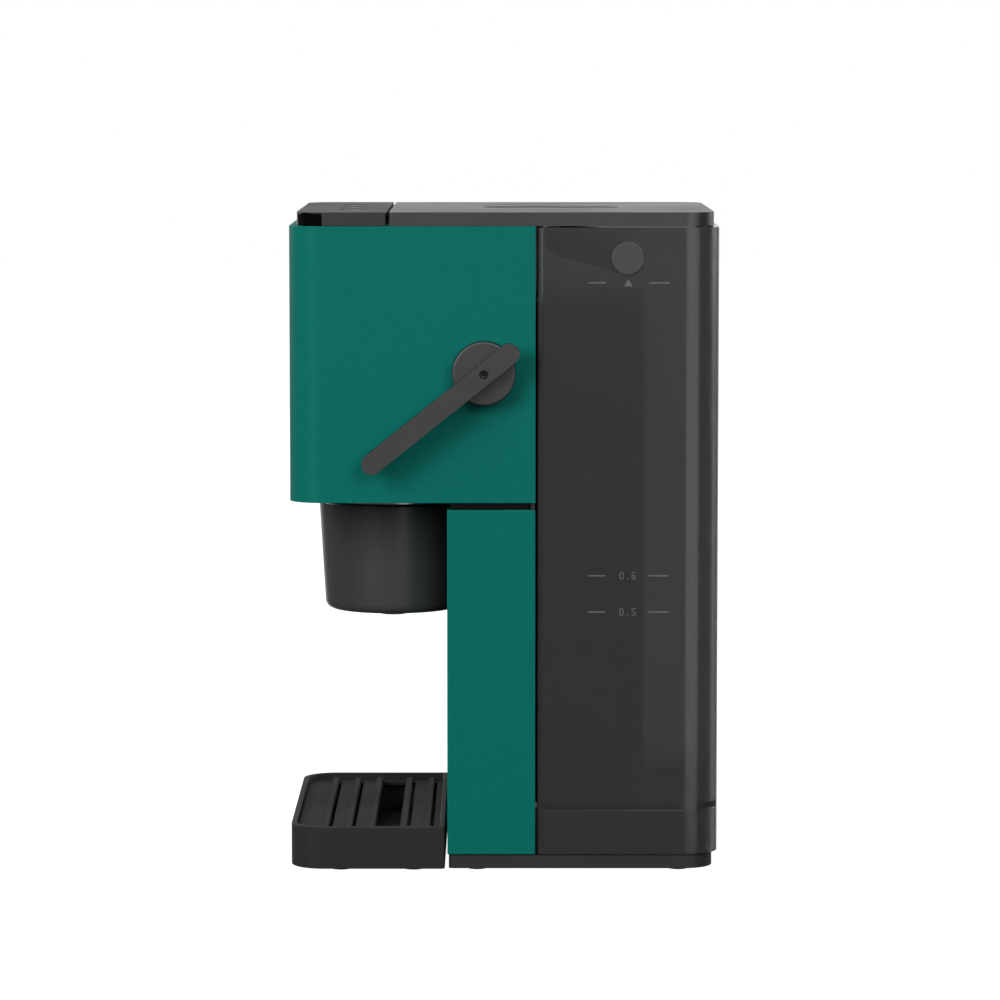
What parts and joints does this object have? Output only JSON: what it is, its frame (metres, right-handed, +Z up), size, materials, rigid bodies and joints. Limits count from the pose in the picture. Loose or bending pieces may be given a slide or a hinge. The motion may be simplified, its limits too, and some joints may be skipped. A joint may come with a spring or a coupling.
{
  "type": "pod coffee machine",
  "caption": "Compact pod coffee machine with a side lever that lowers its pod holder, a slide-out drip tray, a lift-off smoked water tank with a hinged lid, and push buttons on top.",
  "frame": {"origin": "on the table, under the middle of the whole machine's box, lever and lead inlet included; the body's own mid-plane is at x = -7 mm", "axes": "+Z up; -Y is the front, where the cup stands; +X is the side with the lever, which is the user's right"},
  "size_m": [0.175, 0.189, 0.2906],
  "materials": {
    "green_shell": "fine satin grain",
    "dark_plastic": "satin",
    "black_plastic": "matte",
    "gloss_black": "high gloss",
    "smoked_tank": "smoked, see-through",
    "lever_paint": "satin",
    "steel": "brushed",
    "brass": "machined",
    "aluminium": "cast",
    "rubber": "matte",
    "silicone_hose": "translucent white",
    "circuit_board": "lacquered"
  },
  "bodies": {
    "root": {"column_shell": "green_shell", "upper_shell": "green_shell", "control_cap": "dark_plastic", "base_plate": "dark_plastic", "niche_liner": "black_plastic", "head_floor": "black_plastic", "rear_housing": "black_plastic", "tank_dock": "black_plastic", "rod_bracket": "black_plastic", "thermostat": "black_plastic", "lever_switch": "black_plastic", "indicator_strip": "gloss_black", "base_screws": "steel", "board_screws": "steel", "guide_rods": "steel", "pinion_frame": "steel", "shower_plate": "steel", "mouth_collar": "steel", "pump": "steel", "dock_pin": "steel", "group_block": "brass", "lever_bush": "brass", "boiler": "aluminium", "base_feet": "rubber", "brew_gasket": "rubber", "dock_seal": "rubber", "pump_mounts": "rubber", "cable_gland": "rubber", "brew_hose": "silicone_hose", "inlet_hose": "silicone_hose", "control_board": "circuit_board", "power_board": "circuit_board"},
    "lever": {"lever_arm": "lever_paint", "lever_hub": "lever_paint", "lever_screw": "steel", "lever_shaft": "steel", "pinion": "steel", "shaft_clip": "steel"},
    "pod_holder": {"pod_cup": "dark_plastic", "filter_basket": "steel", "outlet_nozzle": "black_plastic", "lift_carriage": "aluminium", "lift_rack": "steel"},
    "drip_tray": {"drip_tray": "dark_plastic", "tray_feet": "rubber"},
    "drip_grille": {"drip_grille": "dark_plastic"},
    "water_tank": {"water_tank": "smoked_tank", "tank_skirt": "smoked_tank", "lid_pins": "steel"},
    "tank_valve": {"valve_poppet": "rubber"},
    "tank_lid": {"tank_lid": "dark_plastic"},
    "tank_handle": {"tank_handle": "dark_plastic", "handle_knobs": "dark_plastic"},
    "espresso_button": {"espresso_button": "dark_plastic"},
    "lungo_button": {"lungo_button": "dark_plastic"},
    "power_button": {"power_button": "dark_plastic"}
  },
  "joints": [
    {"name": "lever_swing", "type": "hinge", "parent": "root", "child": "lever", "pos_m": [-0.007, -0.0089, 0.2209], "axis": [-1, 0, 0], "range_deg": [0, 85]},
    {"name": "holder_lift", "type": "slide", "parent": "root", "child": "pod_holder", "axis": [0, 0, -1], "range_m": [0, 0.018]},
    {"name": "tray_slide", "type": "slide", "parent": "root", "child": "drip_tray", "axis": [0, -1, 0], "range_m": [0, 0.08]},
    {"name": "grille_lift", "type": "slide", "parent": "drip_tray", "child": "drip_grille", "axis": [0, 0, 1], "range_m": [0, 0.03]},
    {"name": "tank_lift", "type": "slide", "parent": "root", "child": "water_tank", "axis": [0, 0, 1], "range_m": [0, 0.25]},
    {"name": "lid_hinge", "type": "hinge", "parent": "water_tank", "child": "tank_lid", "pos_m": [-0.007, 0.0905, 0.288], "axis": [-1, 0, 0], "range_deg": [0, 100]},
    {"name": "handle_swing", "type": "hinge", "parent": "water_tank", "child": "tank_handle", "pos_m": [-0.007, 0.054, 0.2707], "axis": [-1, 0, 0], "range_deg": [0, 80]},
    {"name": "valve_slide", "type": "slide", "parent": "water_tank", "child": "tank_valve", "axis": [0, 0, -1], "range_m": [0, 0.003]},
    {"name": "espresso_button_press", "type": "slide", "parent": "root", "child": "espresso_button", "axis": [0, 0, -1], "range_m": [0, 0.0012], "stiffness_N_per_m": 300, "springref_m": -0.002},
    {"name": "lungo_button_press", "type": "slide", "parent": "root", "child": "lungo_button", "axis": [0, 0, -1], "range_m": [0, 0.0012], "stiffness_N_per_m": 300, "springref_m": -0.002},
    {"name": "power_button_press", "type": "slide", "parent": "root", "child": "power_button", "axis": [0, 0, -1], "range_m": [0, 0.0012], "stiffness_N_per_m": 300, "springref_m": -0.002}
  ],
  "couplings": [
    {"joint": "holder_lift", "follows": "lever_swing", "m_per_rad": 0.012},
    {"joint": "handle_swing", "follows": "lid_hinge", "ratio": 0.8},
    {"joint": "valve_slide", "follows": "tank_lift", "ratio": 0.012}
  ]
}
